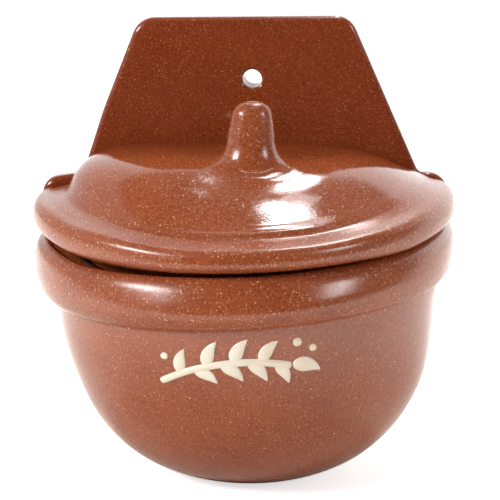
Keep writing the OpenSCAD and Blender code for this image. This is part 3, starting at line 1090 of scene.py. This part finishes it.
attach(sprig, "pot")


# Floor, light and background
WHITE = (1.0, 1.0, 1.0, 1.0)
FLOOR_WHITE = (0.9, 0.9, 0.9, 1.0)
FLOOR_WARM = (0.93, 0.84, 0.73, 1.0)
FLOOR_MIRRORED = (0.90, 0.84, 0.76, 1.0)
FLOOR_GLOW = 0.66
# Painted light: the floor's glow in reflections, rising with the distance from the foot
FLOOR_REFLECTED_GLOW = (0.06, 0.22, 0.0, 0.9)
FLOOR_SIDE = 1.5
FLOOR_FRONT = -0.40
FLOOR_FADES = -0.16
FLOOR_BACK = 2.5


def floor_piece():
    """A floor under the foot, white to look at or in a reflection and warmer in what it throws back.

    In a reflection it glows with painted light that brightens away from the foot, and it turns clear towards
    its front edge.
    """
    mesh = bpy.data.meshes.new("floor")
    corners = [(-FLOOR_SIDE, FLOOR_FRONT, 0.0), (FLOOR_SIDE, FLOOR_FRONT, 0.0),
               (FLOOR_SIDE, FLOOR_BACK, 0.0), (-FLOOR_SIDE, FLOOR_BACK, 0.0)]
    mesh.from_pydata(corners, [], [(0, 1, 2, 3)])
    material, tree = new_material("white_floor")
    tree.nodes.remove(tree.nodes["Principled BSDF"])
    white, warm, mirrored = [put(tree, "ShaderNodeBsdfDiffuse", {"Color": colour}).outputs["BSDF"]
                             for colour in (FLOOR_WHITE, FLOOR_WARM, FLOOR_MIRRORED)]
    place = put(tree, "ShaderNodeTexCoord").outputs["Object"]
    # Painted light: in reflections the floor glows, dim near the foot as painted shade and brighter away from
    # it
    far = ramp(tree, vector_maths(tree, "LENGTH", place)["Value"], *FLOOR_REFLECTED_GLOW)
    painted_glow, glow = [put(tree, "ShaderNodeEmission", {"Color": WHITE, "Strength": strength}).outputs["Emission"]
                   for strength in (far, FLOOR_GLOW)]
    clear = put(tree, "ShaderNodeBsdfTransparent").outputs["BSDF"]
    ending = ramp(tree, split(tree, place)["Y"], FLOOR_FRONT, FLOOR_FADES)
    faded = mixed_light(tree, ending, clear, added_light(tree, mirrored, painted_glow))
    seen = put(tree, "ShaderNodeLightPath").outputs
    bounced = mixed_light(tree, seen["Is Glossy Ray"], warm, faded)
    shown = mixed_light(tree, seen["Is Camera Ray"], bounced, added_light(tree, white, glow))
    tree.links.new(shown, tree.nodes["Material Output"].inputs["Surface"])
    mesh.materials.append(material)
    floor = placed("floor", mesh)


# The tent's light as ramps over the direction
TENT_WHITE = 1.0
TENT_OPENING = (-0.64, -0.76, TENT_WHITE, 0.08)
TENT_OPENING_FORM = (1.25, 1.0, 0.55)
TENT_ROOF = (0.68, 0.78, TENT_WHITE, 0.22)
TENT_ROOF_LEAN = (0.06, 0.0, 1.0)
TENT_BACK = (-0.2, 0.6, TENT_WHITE, 1.56)
TENT_RIGHT = (0.0, 0.6, TENT_WHITE, 0.12)
TENT_AHEAD = (0.45, 0.0)
TENT_SLANT = (-0.8, 0.8, 0.54, 1.46)


def studio_world():
    """White for the camera; for the object a tent, the product of smooth ramps over the direction.

    The tent is bright behind, dark overhead, dim to the right in front and open to the camera.
    """
    world = bpy.data.worlds.new("white_tent")
    scene.world = world
    world.use_nodes = True
    tree = world.node_tree
    tree.nodes.clear()
    way = put(tree, "ShaderNodeTexCoord").outputs["Generated"]
    axes = split(tree, way)
    squeezed = vector_maths(tree, "MULTIPLY", way, TENT_OPENING_FORM)["Vector"]
    squeezed_axes = split(tree, vector_maths(tree, "NORMALIZE", squeezed)["Vector"])
    level = ramp(tree, squeezed_axes["Y"], *TENT_OPENING)
    lean = vector_maths(tree, "DOT_PRODUCT", way, TENT_ROOF_LEAN)["Value"]
    roof = ramp(tree, lean, *TENT_ROOF)
    back = ramp(tree, axes["Y"], *TENT_BACK)
    right = ramp(tree, axes["X"], *TENT_RIGHT)
    ahead = ramp(tree, axes["Y"], *TENT_AHEAD)
    side = put(tree, "ShaderNodeMix", {0: ahead, 2: TENT_WHITE, 3: right}, data_type="FLOAT").outputs[0]
    slant = ramp(tree, axes["X"], *TENT_SLANT)
    for part in (roof, back, side, slant):
        level = maths(tree, "MULTIPLY", level, part)
    tent, white = [put(tree, "ShaderNodeBackground", {"Color": WHITE, "Strength": strength}).outputs[0]
                   for strength in (level, TENT_WHITE)]
    seen = put(tree, "ShaderNodeLightPath").outputs["Is Camera Ray"]
    shown = mixed_light(tree, seen, tent, white)
    tree.links.new(shown, put(tree, "ShaderNodeOutputWorld").inputs["Surface"])


LAMP_DISTANCE = 1.3
LAMP_FADE = 0.4


def fade_edges(data):
    """A lamp that fades to its edges: a ramp in from each side, divided by its mean to keep the power."""
    data.use_nodes = True
    tree = data.node_tree
    axes = split(tree, put(tree, "ShaderNodeNewGeometry").outputs["Parametric"])
    gain = 1.0 / math.sqrt(1.0 - LAMP_FADE)
    level = 1.0
    for axis in ("X", "Y"):
        for start, end in ((0.0, LAMP_FADE), (1.0, 1.0 - LAMP_FADE)):
            side = maths(tree, "MULTIPLY", ramp(tree, axes[axis], start, end), gain)
            level = maths(tree, "MULTIPLY", level, side)
    tree.links.new(level, tree.nodes["Emission"].inputs["Strength"])


def soft_lamp(name, side, rise, width, height, power, fades=False):
    """A rectangular lamp that looks at the pot."""
    data = bpy.data.lights.new(name, "AREA")
    data.shape = "RECTANGLE"
    data.size = width
    data.size_y = height
    data.energy = power
    if fades:
        fade_edges(data)
    aimed(name, data, side, rise, LAMP_DISTANCE)


floor_piece()
studio_world()
soft_lamp("lamp_left", -56.0, 27.0, 0.72, 0.38, 11.4, fades=True)
soft_lamp("lamp_right", 50.0, 22.0, 0.5, 0.5, 3.6, fades=True)
soft_lamp("lamp_top", 26.0, 75.0, 1.1, 0.04, 1.1)
soft_lamp("lamp_back", 167.0, 56.0, 0.18, 0.44, 3.4, fades=True)
soft_lamp("lamp_between", 155.0, 66.8, 0.17, 0.12, 0.32)
soft_lamp("lamp_over", 155.0, 73.0, 0.36, 0.22, 3.3, fades=True)

scene.view_settings.view_transform = "Standard"
